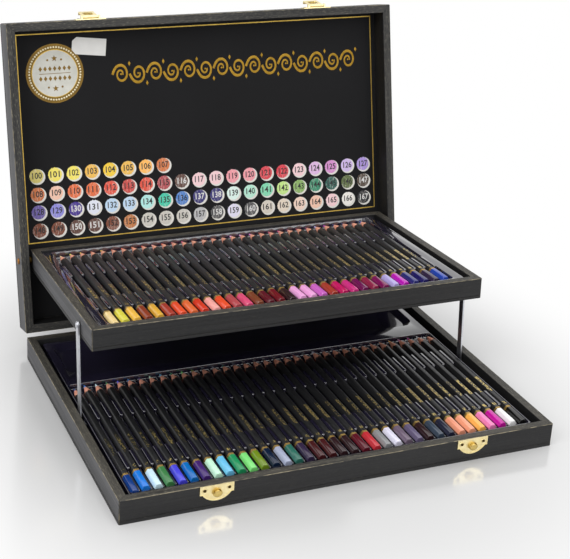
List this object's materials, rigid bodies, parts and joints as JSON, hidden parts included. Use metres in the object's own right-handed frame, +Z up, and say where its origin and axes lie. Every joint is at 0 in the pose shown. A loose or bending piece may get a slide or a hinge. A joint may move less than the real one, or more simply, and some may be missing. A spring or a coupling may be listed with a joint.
{
  "type": "hinged pencil case with a lift-up tray",
  "caption": "Shallow hinged wooden case, shown open, whose lid lifts a second tray of colouring pencils on two side links; brass hasps, formed liners.",
  "frame": {"origin": "centre of the base's underside", "axes": "+X to the right, +Y towards the hinges at the rear, +Z up"},
  "size_m": [0.3926, 0.3823, 0.3077],
  "materials": {
    "black_wood": "satin black stain with open grain",
    "lining_card": "matt black printed card",
    "formed_plastic": "gloss vacuum-formed sheet",
    "pencil_lacquer": "matt black lacquer over cedar",
    "pencil_core": "waxy pigment core",
    "brass": "polished brass plate",
    "bright_steel": "bright zinc-plated strip"
  },
  "bodies": {
    "base": {"base_bottom_panel": "black_wood", "base_front_rail": "black_wood", "base_insert": "formed_plastic", "base_left_rail": "black_wood", "base_pencil_casings": "pencil_lacquer", "base_pencil_leads": "pencil_core", "base_rear_rail": "black_wood", "base_right_rail": "black_wood", "hinge_base_screws": "brass", "hinge_pins": "brass", "keeper_nails": "brass", "left_hinge_base_leaf": "brass", "left_keeper": "brass", "link_foot_screws": "bright_steel", "right_hinge_base_leaf": "brass", "right_keeper": "brass"},
    "lid": {"hasp_plate_nails": "brass", "hinge_lid_screws": "brass", "left_hasp_pin": "brass", "left_hasp_plate": "brass", "left_hinge_lid_leaf": "brass", "left_tray_pivot": "brass", "lid_card": "lining_card", "lid_front_rail": "black_wood", "lid_left_rail": "black_wood", "lid_panel": "black_wood", "lid_rear_rail": "black_wood", "lid_right_rail": "black_wood", "right_hasp_pin": "brass", "right_hasp_plate": "brass", "right_hinge_lid_leaf": "brass", "right_tray_pivot": "brass", "tray_spacers": "bright_steel"},
    "tray": {"tray_bottom_panel": "black_wood", "tray_front_rail": "black_wood", "tray_insert": "formed_plastic", "tray_left_rail": "black_wood", "tray_pencil_casings": "pencil_lacquer", "tray_pencil_leads": "pencil_core", "tray_rear_rail": "black_wood", "tray_right_rail": "black_wood"},
    "left_link": {"left_link": "bright_steel", "left_link_stud": "bright_steel"},
    "right_link": {"right_link": "bright_steel", "right_link_stud": "bright_steel"},
    "left_hasp": {"left_hasp": "brass"},
    "right_hasp": {"right_hasp": "brass"}
  },
  "joints": [
    {"name": "lid_hinge", "type": "hinge", "parent": "base", "child": "lid", "pos_m": [0, 0.14625, 0.0215], "axis": [1, 0, 0], "range_deg": [0, 103]},
    {"name": "tray_hinge", "type": "hinge", "parent": "lid", "child": "tray", "pos_m": [0, 0.17188, 0.08717], "axis": [1, 0, 0], "range_deg": [-99.4, 0]},
    {"name": "left_link_hinge", "type": "hinge", "parent": "base", "child": "left_link", "pos_m": [-0.185, -0.0018, 0.008], "axis": [1, 0, 0], "range_deg": [0, 80.41]},
    {"name": "right_link_hinge", "type": "hinge", "parent": "base", "child": "right_link", "pos_m": [0.185, -0.0018, 0.008], "axis": [1, 0, 0], "range_deg": [0, 80.41]},
    {"name": "left_hasp_hinge", "type": "hinge", "parent": "lid", "child": "left_hasp", "pos_m": [-0.115, 0.21425, 0.30625], "axis": [1, 0, 0], "range_deg": [0, 165]},
    {"name": "right_hasp_hinge", "type": "hinge", "parent": "lid", "child": "right_hasp", "pos_m": [0.115, 0.21425, 0.30625], "axis": [1, 0, 0], "range_deg": [0, 165]}
  ],
  "couplings": [
    {"joint": "tray_hinge", "follows": "lid_hinge", "ratio": -0.96504},
    {"joint": "left_link_hinge", "follows": "lid_hinge", "ratio": 0.78066},
    {"joint": "right_link_hinge", "follows": "lid_hinge", "ratio": 0.78066}
  ]
}
